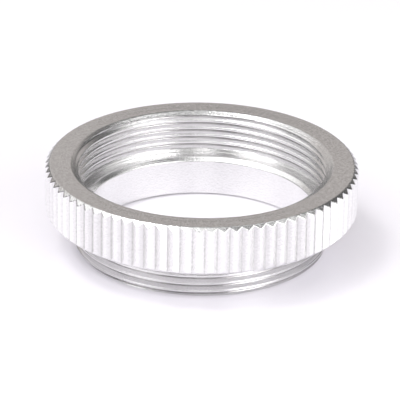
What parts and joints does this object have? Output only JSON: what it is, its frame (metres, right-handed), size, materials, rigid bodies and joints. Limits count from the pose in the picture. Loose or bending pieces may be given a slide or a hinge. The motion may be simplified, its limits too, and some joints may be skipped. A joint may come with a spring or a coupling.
{
  "type": "lens mount adapter ring",
  "caption": "Knurled aluminium extension ring for a small camera: a female lens thread inside the top, a male camera thread on the neck below, and a clear bore through both.",
  "frame": {"origin": "on the optical axis, at the lower end of the camera neck", "axes": "+Z along the optical axis, towards the lens; +X through the crest of a knurl tooth"},
  "size_m": [0.031, 0.031, 0.0087],
  "materials": {
    "satin_aluminium": "clear anodised, satin"
  },
  "bodies": {
    "root": {"adapter_ring": "satin_aluminium"}
  },
  "joints": []
}
